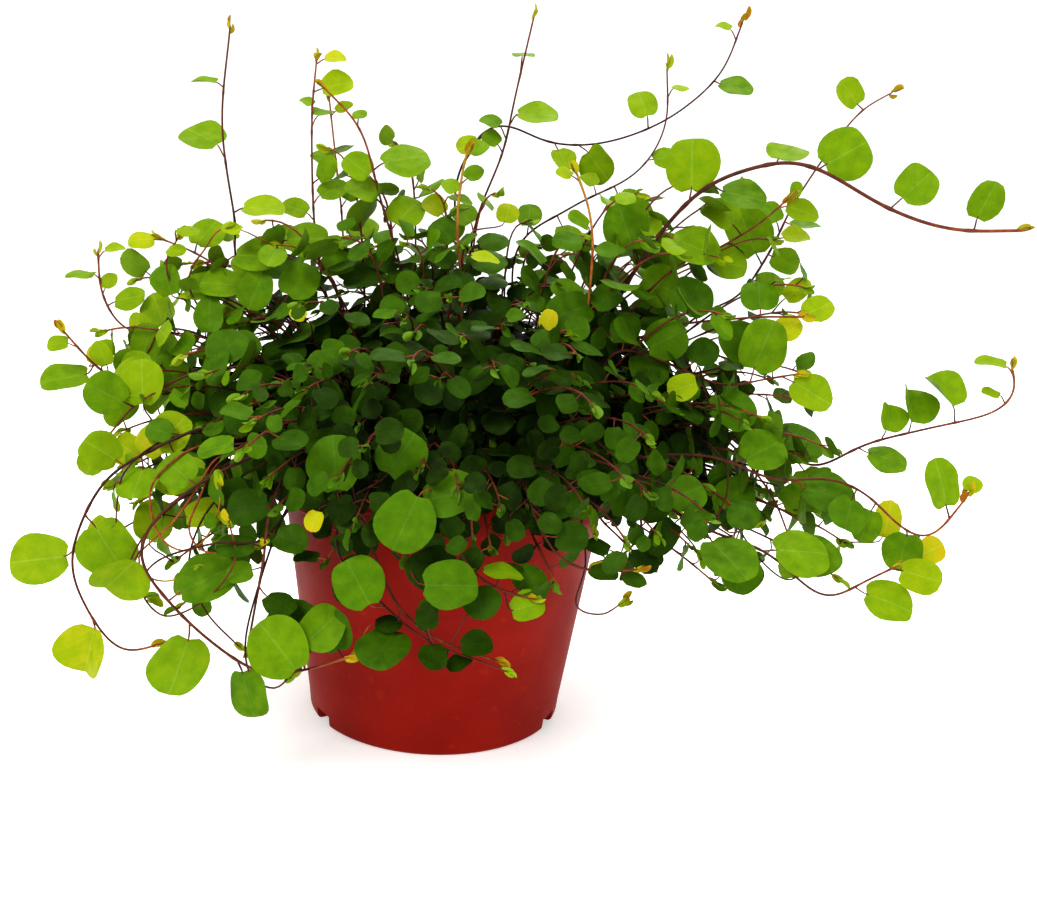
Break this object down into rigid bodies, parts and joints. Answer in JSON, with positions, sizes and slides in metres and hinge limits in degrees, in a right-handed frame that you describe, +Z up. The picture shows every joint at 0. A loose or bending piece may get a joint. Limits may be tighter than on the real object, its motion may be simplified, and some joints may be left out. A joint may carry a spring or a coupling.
{
  "type": "potted wire vine",
  "caption": "Trailing wire vine with small round leaves on thin wiry stems, growing in a round tapered nursery pot filled with potting mix.",
  "frame": {"origin": "centre of the pot's flat underside, on the surface that it stands on", "axes": "+Z up along the pot's axis; +X to the right of the pictured side, along the plant's widest spread; the pictured side faces -Y"},
  "size_m": [0.3449, 0.2029, 0.2551],
  "materials": {
    "pot_plastic": "satin moulded plastic",
    "potting_mix": "moist, crumbly peat mix",
    "vine": "smooth waxy leaves on wiry bark"
  },
  "bodies": {
    "root": {"pot": "pot_plastic", "potting_mix": "potting_mix", "runner_back_left": "vine", "runner_back_middle": "vine", "runner_back_reach": "vine", "runner_back_right": "vine", "runner_centre_orange": "vine", "runner_centre_tall": "vine", "runner_front_left": "vine", "runner_front_mid": "vine", "runner_front_right": "vine", "runner_high_arch": "vine", "runner_left_back": "vine", "runner_left_bow": "vine", "runner_left_bush": "vine", "runner_left_drop": "vine", "runner_left_fall": "vine", "runner_left_fan": "vine", "runner_left_orange": "vine", "runner_left_out": "vine", "runner_left_sweep": "vine", "runner_left_tall": "vine", "runner_left_upper": "vine", "runner_right_arch": "vine", "runner_right_bend": "vine", "runner_right_bush": "vine", "runner_right_fan": "vine", "runner_right_lean": "vine", "runner_right_long": "vine", "runner_right_loop": "vine", "runner_right_low": "vine", "runner_right_orange": "vine", "runner_right_round": "vine", "runner_right_tip": "vine", "runner_right_under": "vine", "tuft_01": "vine", "tuft_02": "vine", "tuft_03": "vine", "tuft_04": "vine", "tuft_05": "vine", "tuft_06": "vine", "tuft_07": "vine", "tuft_08": "vine", "tuft_09": "vine", "tuft_10": "vine", "tuft_11": "vine"}
  },
  "joints": []
}
